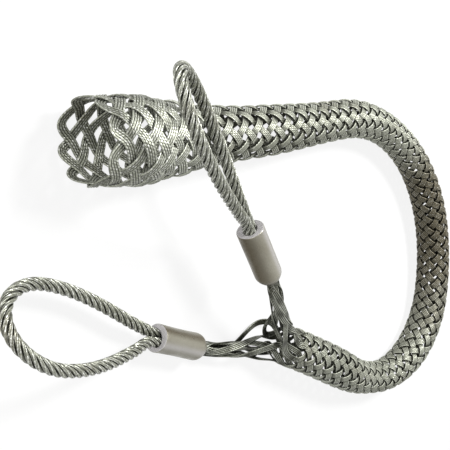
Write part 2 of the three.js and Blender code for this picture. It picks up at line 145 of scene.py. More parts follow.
# Woven ribbons
# Eight flat ribbons, each of four stranded galvanised wires side by side. Each comes out of one
# ferrule, is plaited one over one along the sock, turns round in a loop at the mouth, runs back
# the other way round and goes into a ferrule again.
RIBBONS = 8
PLACES = 2 * RIBBONS
RIBBON_WIDTH = 0.0048
SPREAD_WIDTH = 0.0064
RIBBON_THICKNESS = 0.00115
WALL_DEPTH = 0.00128
WAVE = 0.00078
BODY_ANGLE = 42.5
BASKET_ANGLE = 58
BASKET_RADIUS = 0.0286
BODY_RADIUS = 0.018
STATIONS = np.array((
    (0, 0.0266), (0.028, BASKET_RADIUS), (0.062, 0.0242), (0.096, 0.020),
    (0.145, BODY_RADIUS), (0.240, 0.0152), (0.330, 0.0134), (0.450, 0.0143),
    (0.560, 0.0151), (0.625, 0.0136), (0.690, 0.0161), (0.757, 0.0156),
))
MOUTH_X, MOUTH_Y, MOUTH_HEADING = -0.140, 0.0748, -5.2
RUN = ((0.247, 6.7), (0.123, -47.3), (0.137, -51.2), (0.112, -94.6), (0.050, -19.2), (0.088, 2.8))
SOCK_LENGTH = sum(length for length, _ in RUN)
STEPS_A_CROSSING = 6
# how deep the spread basket is dented, and how far its ribbons have slipped round it, in radians
DENT_DEPTH = 0.0022
SLIP = 0.10


def eased(t):
    """A slow start and a slow end: t squared times (3 - 2 t), with t held from nought to one."""
    t = np.clip(t, 0, 1)
    return t * t * (3 - 2 * t)


def mixed(a, b, t):
    """From a at t = 0 to b at t = 1, along a straight line."""
    return a + (b - a) * t


def unit(v):
    """Each vector divided by its own length."""
    return v / np.linalg.norm(v, axis=-1, keepdims=True)


def sock_radius(s):
    """Outer radius at the distance s from the mouth, eased from each station to the next."""
    at, radius = STATIONS.T
    i = np.clip(np.searchsorted(at, s, side="right") - 1, 0, len(at) - 2)
    return mixed(radius[i], radius[i + 1], eased((s - at[i]) / (at[i + 1] - at[i])))


def slackness(s):
    """Nought along the body, one at the widest part of the basket."""
    return eased((sock_radius(s) - BODY_RADIUS) / (BASKET_RADIUS - BODY_RADIUS))


def sock_axis(s):
    """Centre, forward and side directions of the sock at s: circular arcs laid end to end."""
    s = np.asarray(s, float)
    x, y = np.zeros_like(s), np.zeros_like(s)
    heading = np.zeros_like(s)
    from_x, from_y = MOUTH_X - FOOTPRINT_X, MOUTH_Y - FOOTPRINT_Y
    from_heading, start = math.radians(MOUTH_HEADING), 0.0
    for number, (length, degrees) in enumerate(RUN):
        bend = math.radians(degrees) / length
        here = (s >= start) | (number == 0)
        now = from_heading + bend * (s - start)
        x = np.where(here, from_x + (np.sin(now) - math.sin(from_heading)) / bend, x)
        y = np.where(here, from_y - (np.cos(now) - math.cos(from_heading)) / bend, y)
        heading = np.where(here, now, heading)
        end = from_heading + bend * length
        from_x += (math.sin(end) - math.sin(from_heading)) / bend
        from_y -= (math.cos(end) - math.cos(from_heading)) / bend
        from_heading, start = end, start + length
    nought = np.zeros_like(s)
    centre = np.stack((x, y, sock_radius(s)), -1)
    forward = np.stack((np.cos(heading), np.sin(heading), nought), -1)
    side = np.stack((-np.sin(heading), np.cos(heading), nought), -1)
    return centre, forward, side


def row_spacing(s):
    """Distance to the next row of crossings: the place pitch over the tangent of the ribbon angle."""
    angle = np.radians(mixed(BODY_ANGLE, BASKET_ANGLE, slackness(s)))
    return sock_radius(s) * 2 * math.pi / PLACES / np.tan(angle)


rows = [float(row_spacing(0.0))]
while rows[-1] < SOCK_LENGTH:
    rows.append(rows[-1] + float(row_spacing(min(rows[-1] + row_spacing(rows[-1]) / 2, SOCK_LENGTH))))
rows = np.array(rows) * SOCK_LENGTH / rows[-1]
LAST_ROW = len(rows) - 1
row_numbers = np.arange(-3, LAST_ROW + 3)
row_places = np.concatenate((
    rows[0] * np.array((-2, -1, 0)), rows,
    rows[-1] + row_spacing(SOCK_LENGTH) * np.array((1, 2)),
))


def wall_places(k, m, wave):
    """Points in the wall at row k and place m round it, and the direction out of the wall there.
    The wave from -1 to 1 carries the ribbon from under to over the one it crosses. Slow sines
    round and along the basket dent it and shift its ribbons a little to the side."""
    s = np.interp(k, row_numbers, row_places)
    centre, _, side = sock_axis(s)
    slack = slackness(s)
    round_sock = 2 * math.pi * m / PLACES
    dent = 0.5 + 0.3 * np.sin(2 * round_sock + 70 * s) + 0.2 * np.sin(3 * round_sock - 110 * s + 1.3)
    round_sock = round_sock + SLIP * slack * np.sin(2 * round_sock + 130 * s + 0.6)
    radius = sock_radius(s) - WALL_DEPTH + WAVE * wave - DENT_DEPTH * slack * dent
    out = side * np.cos(round_sock)[:, None] + np.array((0, 0, 1)) * np.sin(round_sock)[:, None]
    return centre + out * radius[:, None], out


def crossing_wave(k):
    """Over at even rows, under at odd ones: c (1.5 - 0.5 c squared), with c the cosine of pi k."""
    c = np.cos(math.pi * k)
    return c * (1.5 - 0.5 * c * c)


# Ribbon ends in the two legs
# Behind the sock the sixteen ribbon ends part into two legs of eight. Round a bunched one in the
# middle four wind one way and three the other, until the ferrule's narrow end grips them.
STRAND_WIDTH = 0.0047
BUNCHED = 0.0013
BUNDLE_RADIUS = 0.00334
SHINGLE = 32
LOOSE_TURN = 0.8
LEG_TWIST = 200
PLAIT_STEP = 0.0011
BUNCHED_TALLER = 1.05
GRIP_DEPTH = 0.021
START_GAP = 0.0003
LEG_POINTS = 60
GRIP_POINTS = 6
BRIDGE_POINTS = 9
# Places along a leg as shares of its length: where the line from the weave has bridged over to its
# ribbon ends, where they have gathered round the middle line, where the bundle is as tight as in
# the ferrule, where the loose bows end, and where the ribbons start to lie on each other like
# shingles. Over the last share the outer ones come in again.
BRIDGED_BY = 0.09
GATHERED_BY = 0.3
TIGHT_BY = 0.8
BOWS_END = 0.62
SHINGLED_FROM = 0.85
PLAIT_ENDS = 0.12
# The middle line starts at this share of the sock's radius, and leaves the sock and reaches the
# ferrule straight for about these shares of its length.
LEG_ROOT = 0.45
LEAVES_STRAIGHT = 0.3
ARRIVES_STRAIGHT = 0.35
# Each leg also gives the angles round its ferrule of the painted shade band and the painted highlight
# streak, and the shade band's width, in degrees.
LEGS = (
    {
        "name": "left", "end": (-0.0349, -0.0789, 0.0104), "heading": 156.2, "pitch": 3,
        "eye_heading": 159, "eye_pitch": 11, "eye_roll": 36, "eye_half_width": 0.0255,
        "first_ribbon": 10, "bundle": 0.009, "painted_shade_at": 140, "painted_shade_width": 20, "painted_highlight_at": 72,
        "loose": {0: (-0.013, -0.001, 0), 7: (-0.005, 0.004, 0)},
    },
    {
        "name": "right", "end": (0.0006, -0.0304, 0.0426), "heading": 121.8, "pitch": 2.5,
        "eye_heading": 130.5, "eye_pitch": 11.5, "eye_roll": 38, "eye_half_width": 0.0225,
        "first_ribbon": 2, "bundle": 0.0075, "painted_shade_at": 8, "painted_shade_width": 48, "painted_highlight_at": 112,
        "loose": {0: (0.003, 0.003, 0.003), 7: (0.006, -0.002, 0.008)},
    },
)


def pointing(heading, pitch):
    """Direction of a heading and a pitch in degrees."""
    heading, pitch = math.radians(heading), math.radians(pitch)
    level = math.cos(pitch)
    return np.array((math.cos(heading) * level, math.sin(heading) * level, math.sin(pitch)))


def leg_end(leg):
    """The middle of the ferrule's sock side end."""
    return np.array(leg["end"]) - np.array((FOOTPRINT_X, FOOTPRINT_Y, 0))


def bezier(points, t):
    """Cubic curve: the four points weighted by (1-t)^3, 3 t (1-t)^2, 3 t^2 (1-t) and t^3."""
    t = np.asarray(t, float)[:, None]
    a, b, c, d = (np.asarray(p, float) for p in points)
    return a * (1 - t) ** 3 + b * 3 * t * (1 - t) ** 2 + c * 3 * t * t * (1 - t) + d * t ** 3


def even_line(points, share):
    """Points at equal shares of the length of a line drawn through closely spaced points."""
    steps = np.linalg.norm(np.diff(points, axis=0), axis=1)
    length = np.concatenate(((0,), np.cumsum(steps)))
    return np.stack([np.interp(share * length[-1], length, points[:, i]) for i in range(3)], -1)


def leg_line(leg, n, t):
    """Line of ribbon end n of a leg, from the weave (t = 0) to the ferrule (t = 1), and the
    direction that its flat side faces. It starts straight out of the weave and then winds in a
    helix round the leg's middle line, the odd ones against the even ones and a step further out."""
    centre, forward, side = (v[0] for v in sock_axis(np.array((SOCK_LENGTH,))))
    up = np.array((0, 0, 1))
    middle = (leg["first_ribbon"] + RIBBONS / 2) / PLACES * 2 * math.pi
    radius = float(sock_radius(SOCK_LENGTH))
    start = centre + (side * math.cos(middle) + up * math.sin(middle)) * radius * LEG_ROOT
    end, into = leg_end(leg), pointing(leg["heading"], leg["pitch"])
    reach = np.linalg.norm(end - start)
    fine = np.linspace(0, 1, 400)
    core = bezier((
        start, start + forward * reach * LEAVES_STRAIGHT,
        end - into * reach * ARRIVES_STRAIGHT, end,
    ), fine)
    line = even_line(core, t)
    course = unit(np.gradient(even_line(core, fine), axis=0))
    along = unit(np.stack([np.interp(t, fine, course[:, i]) for i in range(3)], -1))
    level = unit(np.cross(up, along))
    rise = np.cross(along, level)
    seat = n if n < RIBBONS // 2 else n - 1
    against = n % 2 == 1
    turned = LEG_TWIST * (2 - t) if against else LEG_TWIST * t
    wind = middle + np.radians((seat - (RIBBONS - 2) / 2) * 360 / (RIBBONS - 1) + turned)
    ray = level * np.cos(wind)[:, None] + rise * np.sin(wind)[:, None]
    step = PLAIT_STEP if against else 0
    layer = step * eased(t / GATHERED_BY) * eased((1 - t) / PLAIT_ENDS)
    in_the_middle = n == RIBBONS // 2
    ring = mixed(leg["bundle"], BUNDLE_RADIUS, eased(t / TIGHT_BY)) + layer
    ring = ring * (not in_the_middle)
    wound = line + ray * ring[:, None]
    angle = (leg["first_ribbon"] + n + 0.5) / PLACES * 2 * math.pi
    spoke = side * math.cos(angle) + up * math.sin(angle)
    root = centre + spoke * (radius - WALL_DEPTH)
    free = root + forward * (START_GAP + t * reach)[:, None]
    gather = eased(t / GATHERED_BY)[:, None]
    place = mixed(free, wound, gather)
    bow = (n in leg["loose"]) * np.sin(math.pi * np.minimum(1, t / BOWS_END))[:, None] ** 2
    to_side, to_up, to_front = leg["loose"].get(n, (0, 0, 0))
    place = place + (side * to_side + up * to_up + forward * to_front) * bow
    facing = unit(mixed(spoke, ray, gather))
    full_shingle = math.radians(-SHINGLE if against else SHINGLE) * (not in_the_middle)
    shingle = full_shingle * eased((t - SHINGLED_FROM) / (1 - SHINGLED_FROM))[:, None]
    facing = facing * np.cos(shingle) + np.cross(along, facing) * np.sin(shingle)
    return place, unit(mixed(facing, up * np.sign(spoke[2]), LOOSE_TURN * bow))


def ribbon_end(leg, n):
    """Line, facing, half width, half thickness and bunching of ribbon end n, from just past the
    weave to the end that is gripped inside the ferrule."""
    t = np.linspace(BRIDGED_BY, 1, LEG_POINTS)
    line, facing = leg_line(leg, n, t)
    inside = np.linspace(0.1, 1, GRIP_POINTS)[:, None] * GRIP_DEPTH
    line = np.concatenate((line, line[-1] + inside * pointing(leg["heading"], leg["pitch"])))
    facing = np.concatenate((facing, np.repeat(facing[-1:], GRIP_POINTS, axis=0)))
    bunched = eased(np.concatenate((t, np.ones(GRIP_POINTS))) / TIGHT_BY) * (n == RIBBONS // 2)
    half_width = mixed(STRAND_WIDTH / 2, BUNCHED, bunched)
    half_thickness = mixed(RIBBON_THICKNESS / 2, BUNCHED * BUNCHED_TALLER, bunched)
    return line, facing, half_width, half_thickness, bunched


def bridge(line_a, facing_a, line_b, facing_b, steps):
    """Smooth line from the end of one line to the start of the next: a cubic curve that leaves
    and arrives along their own directions."""
    a, b = line_a[-1], line_b[0]
    reach = np.linalg.norm(b - a) / 3
    leave = unit(line_a[-1] - line_a[-2])
    arrive = unit(line_b[1] - line_b[0])
    t = np.linspace(0, 1, steps + 2)[1:-1]
    line = bezier((a, a + leave * reach, b - arrive * reach, b), t)
    return line, unit(mixed(facing_a[-1], facing_b[0], eased(t)[:, None])), t


# Ribbon outline
# A flat ribbon is four wires side by side, so its outline has four bumps above and four below.
# A bunched one is the same four wires pushed together, so its outline is a ring with four lobes.
bumps = np.radians((25, 90, 155))
wire_middles = np.array((3, 1, -1, -3)) / 4
top_x = (wire_middles[:, None] + np.cos(bumps) / 4).ravel()
top_y = np.tile(np.sin(bumps), 4)
flat_outline = np.stack((np.concatenate((top_x, -top_x)), np.concatenate((top_y, -top_y))), -1)
OUTLINE_POINTS = len(flat_outline)
round_angle = (np.arange(OUTLINE_POINTS) + 0.5) / OUTLINE_POINTS * 2 * math.pi
lobes = 0.84 + 0.16 * np.abs(np.sin(2 * round_angle))
bunched_outline = np.stack((lobes * np.cos(round_angle), lobes * np.sin(round_angle)), -1)
# painted shade, with some grime, at each point of the flat outline, darkening the grooves between
# wires: none on a wire's crown, less at the ribbon's two edges
flat_groove = np.tile((1.0, 0.0, 1.0), 8)
flat_groove[[0, 11, 12, 23]] = 0.6


def swept(line, facing, outline, half_width, half_thickness):
    """Rings of points: line + across x + facing y, with across square to facing and to the line."""
    forward = unit(np.gradient(line, axis=0))
    facing = unit(facing - forward * (facing * forward).sum(-1, keepdims=True))
    across = np.cross(facing, forward)
    x = outline[..., 0] * half_width[:, None]
    y = outline[..., 1] * half_thickness[:, None]
    return line[:, None] + across[:, None] * x[..., None] + facing[:, None] * y[..., None]


def skin(name, rings, values, material):
    """A closed mesh over rings of points, with a UV of share round and metres along, and named
    values at its points."""
    steps, sides = rings.shape[:2]
    index = np.arange(steps * sides).reshape(steps, sides)
    beside = np.roll(index, -1, axis=1)
    quads = np.stack((index[:-1], beside[:-1], beside[1:], index[1:]), -1).reshape(-1, 4)
    mesh = bpy.data.meshes.new(name)
    faces = quads.tolist() + [index[0, ::-1].tolist(), index[-1].tolist()]
    mesh.from_pydata(rings.reshape(-1, 3), [], faces)
    middle = rings.mean(axis=1)
    metres = np.concatenate(((0,), np.cumsum(np.linalg.norm(np.diff(middle, axis=0), axis=1))))
    u, v = np.meshgrid(np.arange(sides + 1) / sides, metres)
    corners = ((0, 0), (0, 1), (1, 1), (1, 0))
    grid = np.stack((u, v), -1)
    uv = [grid[i:steps - 1 + i, j:sides + j] for i, j in corners]
    uv = np.concatenate((np.stack(uv, 2).reshape(-1), np.zeros(4 * sides)))
    mesh.uv_layers.new(name="lay").data.foreach_set("uv", uv.astype(np.float32))
    for label, value in values.items():
        attribute = mesh.attributes.new(label, "FLOAT", "POINT")
        attribute.data.foreach_set("value", value.astype(np.float32).ravel())
    smooth = np.ones(len(faces), bool)
    smooth[-2:] = False
    mesh.polygons.foreach_set("use_smooth", smooth)
    mesh.materials.append(material)
    piece = bpy.data.objects.new(name, mesh)
    bpy.context.collection.objects.link(piece)
    return piece


# Steel finish and painted light
# Ribbons and ropes are galvanised steel wire. The zinc is dull in patches, painted glints sit where
# the fine wires crest, each wire is itself laid up of fine ones, and painted shade with some black
# grime darkens every groove.
LIGHT_STEEL = (0.52, 0.54, 0.45, 1)
DULL_STEEL = (0.19, 0.195, 0.14, 1)
# colour of the painted glints on the fine wires' crowns
PAINTED_GLINT_STEEL = (0.86, 0.87, 0.82, 1)
# near black for painted shade in grooves, under crossings and on the bore side, with some grime
GRIME_AND_SHADE = (0.012, 0.012, 0.006, 1)
RUST_BROWN = (0.13, 0.088, 0.045, 1)
# dark brown over the tight bend: partly a stain, partly painted shade
STAINED_AND_SHADED = (0.095, 0.066, 0.027, 1)
STAIN_AND_SHADE_AT = (0.205, -0.01, 0.015)
STAIN_AND_SHADE_REACH = 0.115
STAIN_AND_SHADE_CORE = 0.35
# how much of each colour comes through where its mask is full
DULL_SHARE = 0.55
BROWN_SHARE = 0.35
STAIN_AND_SHADE_SHARE = 0.8
GROOVE_SHARE = 0.95
DIVE_SHARE = 0.9
GRIME_AND_SHADE_METAL = 0.9


def new_group(name, sockets_in, sockets_out):
    """A shader node group with named sockets, the ones that go in each with its usual value."""
    group = bpy.data.node_groups.new(name, "ShaderNodeTree")
    for label, kind, value in sockets_in:
        socket = group.interface.new_socket(label, in_out="INPUT", socket_type=kind)
        socket.default_value = value
    for label, kind in sockets_out:
        group.interface.new_socket(label, in_out="OUTPUT", socket_type=kind)
    return group, group.nodes.new("NodeGroupInput"), group.nodes.new("NodeGroupOutput")


def math_node(tree, operation, *values):
    """A Math node, with each value a number or another node's output."""
    node = tree.nodes.new("ShaderNodeMath")
    node.operation = operation
    for socket, value in zip(node.inputs, values):
        if isinstance(value, (int, float)):
            socket.default_value = value
        else:
            tree.links.new(value, socket)
    return node.outputs[0]


def mix_colour(tree, share, a, b):
    """A Mix node from a to b by another node's share, each a plain colour or a node's output."""
    node = tree.nodes.new("ShaderNodeMix")
    node.data_type = "RGBA"
    for socket, value in ((node.inputs[0], share), (node.inputs[6], a), (node.inputs[7], b)):
        if isinstance(value, tuple):
            socket.default_value = value
        else:
            tree.links.new(value, socket)
    return node.outputs[2]


# Wire lay: a sine of the share round the strand plus the turns along it, so that its crests are
# fine wires that run slantwise
wire_lay, inlet, outlet = new_group(
    "wire_lay",
    (("Wires around", "NodeSocketFloat", 8.0), ("Turns per metre", "NodeSocketFloat", 300.0)),
    (("Height", "NodeSocketFloat"),),
)
uv_node = wire_lay.nodes.new("ShaderNodeUVMap")
uv_node.uv_map = "lay"
parts = wire_lay.nodes.new("ShaderNodeSeparateXYZ")
wire_lay.links.new(uv_node.outputs[0], parts.inputs[0])
around = math_node(wire_lay, "MULTIPLY", parts.outputs[0], inlet.outputs["Wires around"])
along = math_node(wire_lay, "MULTIPLY", parts.outputs[1], inlet.outputs["Turns per metre"])
phase = math_node(wire_lay, "MULTIPLY", math_node(wire_lay, "ADD", around, along), 2 * math.pi)
ripple = math_node(wire_lay, "SINE", phase)
height = math_node(wire_lay, "MULTIPLY_ADD", ripple, 0.5, 0.5)
wire_lay.links.new(height, outlet.inputs["Height"])

# Weathering and painted light: dull patches, brown ones, specks and sparks, each from noise over the
# whole grip, and a stain with painted shade over the bend
weathering_and_painted_light, inlet, outlet = new_group(
    "weathering_and_painted_light",
    (("Patch scale", "NodeSocketFloat", 20.0), ("Fine scale", "NodeSocketFloat", 650.0)),
    tuple((label, "NodeSocketFloat") for label in ("Dull", "Brown", "Fine", "Spark", "Stain and shade")),
)
place_node = weathering_and_painted_light.nodes.new("ShaderNodeTexCoord")


def noise(tree, vector, scale, detail, low, high):
    """Noise stretched so that low becomes nought and high becomes one."""
    texture = tree.nodes.new("ShaderNodeTexNoise")
    texture.inputs["Detail"].default_value = detail
    tree.links.new(vector, texture.inputs["Vector"])
    tree.links.new(scale, texture.inputs["Scale"])
    spread = tree.nodes.new("ShaderNodeMapRange")
    spread.inputs["From Min"].default_value = low
    spread.inputs["From Max"].default_value = high
    tree.links.new(texture.outputs["Fac"], spread.inputs["Value"])
    return spread.outputs["Result"]


here = place_node.outputs["Object"]
patches = inlet.outputs["Patch scale"]
specks = inlet.outputs["Fine scale"]
brown_patches = math_node(weathering_and_painted_light, "MULTIPLY", patches, 1.7)
sparks = math_node(weathering_and_painted_light, "MULTIPLY", specks, 0.8)
masks = (
    ("Dull", patches, 3.0, 0.38, 0.68), ("Brown", brown_patches, 4.0, 0.56, 0.74),
    ("Fine", specks, 2.0, 0.36, 0.62), ("Spark", sparks, 1.0, 0.46, 0.66),
)
for label, scale, detail, low, high in masks:
    mask = noise(weathering_and_painted_light, here, scale, detail, low, high)
    weathering_and_painted_light.links.new(mask, outlet.inputs[label])
# one broad brown stain lies over the tight bend, dark enough to stand in for the bend's shade too:
# partly stain, partly painted shade
away = weathering_and_painted_light.nodes.new("ShaderNodeVectorMath")
away.operation = "DISTANCE"
away.inputs[1].default_value = STAIN_AND_SHADE_AT
weathering_and_painted_light.links.new(here, away.inputs[0])
fade = weathering_and_painted_light.nodes.new("ShaderNodeMapRange")
fade.interpolation_type = "SMOOTHSTEP"
fade.inputs["From Min"].default_value = STAIN_AND_SHADE_REACH
fade.inputs["From Max"].default_value = STAIN_AND_SHADE_REACH * STAIN_AND_SHADE_CORE
weathering_and_painted_light.links.new(away.outputs["Value"], fade.inputs["Value"])
weathering_and_painted_light.links.new(fade.outputs["Result"], outlet.inputs["Stain and shade"])


def mask_of(tree, name):
    """The value that the mesh carries at its points under a name."""
    node = tree.nodes.new("ShaderNodeAttribute")
    node.attribute_name = name
    return node.outputs["Fac"]


def scaled(tree, value, factor):
    """A node's output times a number or another output."""
    return math_node(tree, "MULTIPLY", value, factor)


def steel_and_painted_light(name, wires, turns, patch, bump, light, roughness, metallic, speckle):
    """Galvanised wire: light on the crowns with painted glints, dull in patches, painted shade with
    some grime in the grooves and where one piece dives under another, with the wires' slant in the
    bump."""
    material = bpy.data.materials.new(name)
    material.use_nodes = True
    tree = material.node_tree
    shader = tree.nodes["Principled BSDF"]
    lay = tree.nodes.new("ShaderNodeGroup")
    lay.node_tree = wire_lay
    lay.inputs["Wires around"].default_value = wires
    lay.inputs["Turns per metre"].default_value = turns
    worn = tree.nodes.new("ShaderNodeGroup")
    worn.node_tree = weathering_and_painted_light
    worn.inputs["Patch scale"].default_value = patch
    crown, fine = lay.outputs["Height"], worn.outputs["Fine"]
    base = mix_colour(tree, scaled(tree, worn.outputs["Dull"], DULL_SHARE), light, DULL_STEEL)
    base = mix_colour(tree, scaled(tree, worn.outputs["Brown"], BROWN_SHARE), base, RUST_BROWN)
    # the dark brown over the bend, partly stain and partly painted shade
    base = mix_colour(tree, scaled(tree, worn.outputs["Stain and shade"], STAIN_AND_SHADE_SHARE), base, STAINED_AND_SHADED)
    # painted glints on the fine wires' crowns and painted shade in specks between them, more where
    # the wires are frayed
    loose = math_node(tree, "MULTIPLY_ADD", mask_of(tree, "frayed"), 0.7, 0.3)
    painted_glint = scaled(tree, scaled(tree, crown, worn.outputs["Spark"]), loose)
    base = mix_colour(tree, painted_glint, base, PAINTED_GLINT_STEEL)
    valley = math_node(tree, "SUBTRACT", 1.0, crown)
    patchy = scaled(tree, math_node(tree, "MULTIPLY_ADD", fine, 0.8, 0.2), loose)
    specks = scaled(tree, scaled(tree, valley, patchy), speckle)
    in_grooves = scaled(tree, mask_of(tree, "groove"), GROOVE_SHARE)
    in_dives = scaled(tree, mask_of(tree, "dive"), DIVE_SHARE)
    # painted shade, with some grime, in the grooves, where a piece dives under another and in specks
    # between the fine wires
    shade_and_dirt = math_node(tree, "MAXIMUM", math_node(tree, "MAXIMUM", in_grooves, in_dives), specks)
    colour = mix_colour(tree, shade_and_dirt, base, GRIME_AND_SHADE)
    tree.links.new(colour, shader.inputs["Base Color"])
    # where the painted shade and grime lie, the surface counts as a dark metal, so that its
    # reflections are painted dark too
    metal = math_node(tree, "MULTIPLY_ADD", shade_and_dirt, GRIME_AND_SHADE_METAL - metallic, metallic)
    tree.links.new(metal, shader.inputs["Metallic"])
    rough = math_node(tree, "MULTIPLY_ADD", fine, 0.18, roughness)
    tree.links.new(rough, shader.inputs["Roughness"])
    raised = tree.nodes.new("ShaderNodeBump")
    raised.inputs["Strength"].default_value = 0.8
    raised.inputs["Distance"].default_value = bump
    tree.links.new(crown, raised.inputs["Height"])
    tree.links.new(raised.outputs["Normal"], shader.inputs["Normal"])
    return material


ribbon_steel = steel_and_painted_light(
    "ribbon_steel", wires=5, turns=430, patch=16, bump=0.00016,
    light=LIGHT_STEEL, roughness=0.36, metallic=0.25, speckle=0.75,
)


def leg_of(place):
    """The leg and the number in it of the ribbon end that leaves the weave at a place."""
    for leg in LEGS:
        n = round(place - 0.5 - leg["first_ribbon"]) % PLACES
        if n < RIBBONS:
            return leg, n


def weave_run(k, m, wave):
    """Line, facing and sizes of a ribbon along part of the weave."""
    line, facing = wall_places(k, m, wave)
    slack = slackness(np.interp(k, row_numbers, row_places))
    half_width = mixed(RIBBON_WIDTH, SPREAD_WIDTH, slack) / 2
    return line, facing, half_width, np.full(len(k), RIBBON_THICKNESS / 2), np.zeros(len(k))


def turned_back(run):
    """The same run, followed from its other end."""
    return tuple(part[::-1] for part in run)


def joined(weave, end):
    """A run along the weave carried on into a ribbon end, with a smooth bridge between."""
    line, facing, t = bridge(weave[0], weave[1], end[0], end[1], BRIDGE_POINTS)
    between = (line, facing) + tuple(mixed(a[-1], b[0], t) for a, b in zip(weave[2:], end[2:]))
    return tuple(np.concatenate(parts) for parts in zip(weave, between, end))


SOCK_LENGTHS = ("sock_basket", "sock_run", "sock_bend", "sock_tail")
# In the legs the ribbons pass over and under each other about every 11 mm: radians of that wave
# from one point to the next, its middle and its height, which set the painted shade where a ribbon is
# under, how much deeper the painted shade in their grooves is than in the weave, and how frayed their
# wires are.
LEG_CROSSING = 0.42
LEG_WAVE_MIDDLE = 0.35
LEG_WAVE_HEIGHT = 0.5
LEG_GROOVES = 0.6
LEG_FRAYED = 0.7
# A ribbon is unshaded at this height of its wave and fully in painted shade this much lower, where it
# dives under its neighbour.
# The side that faces the bore gets more painted shade, spread ribbons get less, and bunching makes
# the painted shade in the grooves lighter.
UNSHADED_WAVE = 0.85
FULL_BELOW = 1.1
BORE_SIDE_SHADE = 0.5
SPREAD_LESS_SHADE = 0.75
BUNCHED_SHALLOWS = 0.5
# the woven line ends this share of a row past the last crossing
PAST_LAST_ROW = 0.3
lattice_end = (LAST_ROW + PAST_LAST_ROW) * STEPS_A_CROSSING
lattice = np.arange(STEPS_A_CROSSING, lattice_end) / STEPS_A_CROSSING
lattice = np.concatenate((np.arange(1, STEPS_A_CROSSING) / STEPS_A_CROSSING, lattice))
loop = np.linspace(-1, 1, 4 * STEPS_A_CROSSING + 1)
# Row k of the weave is the k-th ring of crossings, counted from nought at the mouth, and its places
# are numbered round the sock. A ribbon comes up to the mouth at place 2 i - 2 - k, turns round in
# its loop there and runs on at place 2 i + k.
for i in range(RIBBONS):
    apex = 2 * i - 1
    start_place = 2 * i - 2
    onward = weave_run(lattice, 2 * i + lattice, crossing_wave(lattice))
    back = weave_run(lattice, start_place - lattice, -crossing_wave(lattice))
    # the loop starts and ends at row nought, and its middle lies a row before it, at the rim
    turn_k = -1 + 1.5 * loop ** 2 - 0.5 * loop ** 4
    rim = weave_run(turn_k, apex + loop, np.sin(math.pi * loop / 2))
    leg_a, n_a = leg_of(start_place - LAST_ROW - 0.5)
    leg_b, n_b = leg_of(2 * i + LAST_ROW + 0.5)
    first = turned_back(joined(back, ribbon_end(leg_a, n_a)))
    last = joined(onward, ribbon_end(leg_b, n_b))
    parts = zip(first, rim, last)
    line, facing, half_width, half_thickness, bunched = (np.concatenate(p) for p in parts)
    outline = mixed(flat_outline, bunched_outline, bunched[:, None, None])
    rings = swept(line, facing, outline, half_width, half_thickness)
    before, after = len(first[0]) - len(lattice), len(last[0]) - len(lattice)
    leg_a_wave = LEG_WAVE_MIDDLE + LEG_WAVE_HEIGHT * np.cos(np.arange(before) * LEG_CROSSING + n_a)
    leg_b_wave = LEG_WAVE_MIDDLE + LEG_WAVE_HEIGHT * np.cos(np.arange(after) * LEG_CROSSING + n_b)
    wave = np.concatenate((
        leg_a_wave, -crossing_wave(lattice)[::-1],
        np.sin(math.pi * loop / 2), crossing_wave(lattice), leg_b_wave,
    ))
    in_leg = np.ones(len(line))
    in_leg[before:len(line) - after] = 0
    # painted shade where the ribbon dives under another, and on the side that faces the bore
    under = np.clip((UNSHADED_WAVE - wave) / FULL_BELOW, 0, 1)[:, None]
    low_side = np.where(np.arange(OUTLINE_POINTS) >= OUTLINE_POINTS // 2, BORE_SIDE_SHADE, 0.0)
    spread = (half_width * 2 - RIBBON_WIDTH) / (SPREAD_WIDTH - RIBBON_WIDTH)
    frayed = np.clip(spread, 0, 1)[:, None]
    dive = np.clip(under + low_side, 0, 1) * (1 - SPREAD_LESS_SHADE * frayed)
    groove_depth = (1 - BUNCHED_SHALLOWS * bunched) * (1 + LEG_GROOVES * in_leg)
    groove = flat_groove * groove_depth[:, None]
    frayed = np.maximum(frayed, LEG_FRAYED * in_leg[:, None]) + np.zeros(dive.shape)
    values = {"groove": groove, "dive": dive, "frayed": frayed}
    piece = skin(f"sock_ribbon_{i + 1}", rings, values, ribbon_steel)
    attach(piece, "root")
    ends = [f"{leg['name']}_leg_strand_{n + 1}" for leg, n in ((leg_a, n_a), (leg_b, n_b))]
    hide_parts(*SOCK_LENGTHS, *ends)

# Eye ropes
# Each eye is a length of 8 mm galvanised wire rope of six strands, each a bundle of fine wires.
# It is bent round so that both its ends go side by side into the ferrule, which holds them fast.
ROPE_RADIUS = 0.004
ROPE_STRANDS = 6
LAY_LENGTH = 0.038
ROPE_GAP = 0.0004
PINCHED = 0.0029
EYE_LENGTH = 0.140
FERRULE_LENGTH = 0.046
STRAND_SIDES = 18
STRAND_RADIUS = ROPE_RADIUS / 3
ROPE_STEEL = (0.34, 0.35, 0.29, 1)
ROPE_STEP = 0.0009
# how much wider than high a strand is, and over which share of the ferrule's length, past its
# mouth, the rope swings from the ferrule's direction to the eye's own
STRAND_WIDER = 1.06
SWINGS_OVER = 0.6
# a strand is unshaded where the cosine round it is over the first, and fully in painted shade this
# much lower, in the grooves between strands
UNSHADED_CROWN = 0.88
FULL_VALLEY = 0.8
ROPE_FRAYED = 0.7
# Shares of the eye's length: where it is widest, and the two handles of the cubic curve that opens
# it, one straight out of the ferrule and one at full width. With handles at 0.552 a cubic curve is
# as good as a quarter circle.
WIDEST_AT = 0.715
OPENS_STRAIGHT = 0.136
OPENS_BY = 0.4
QUARTER = 0.552

rope_steel = steel_and_painted_light(
    "rope_steel", wires=4, turns=-70, patch=18, bump=0.0006,
    light=ROPE_STEEL, roughness=0.24, metallic=0.3, speckle=0.9,
)


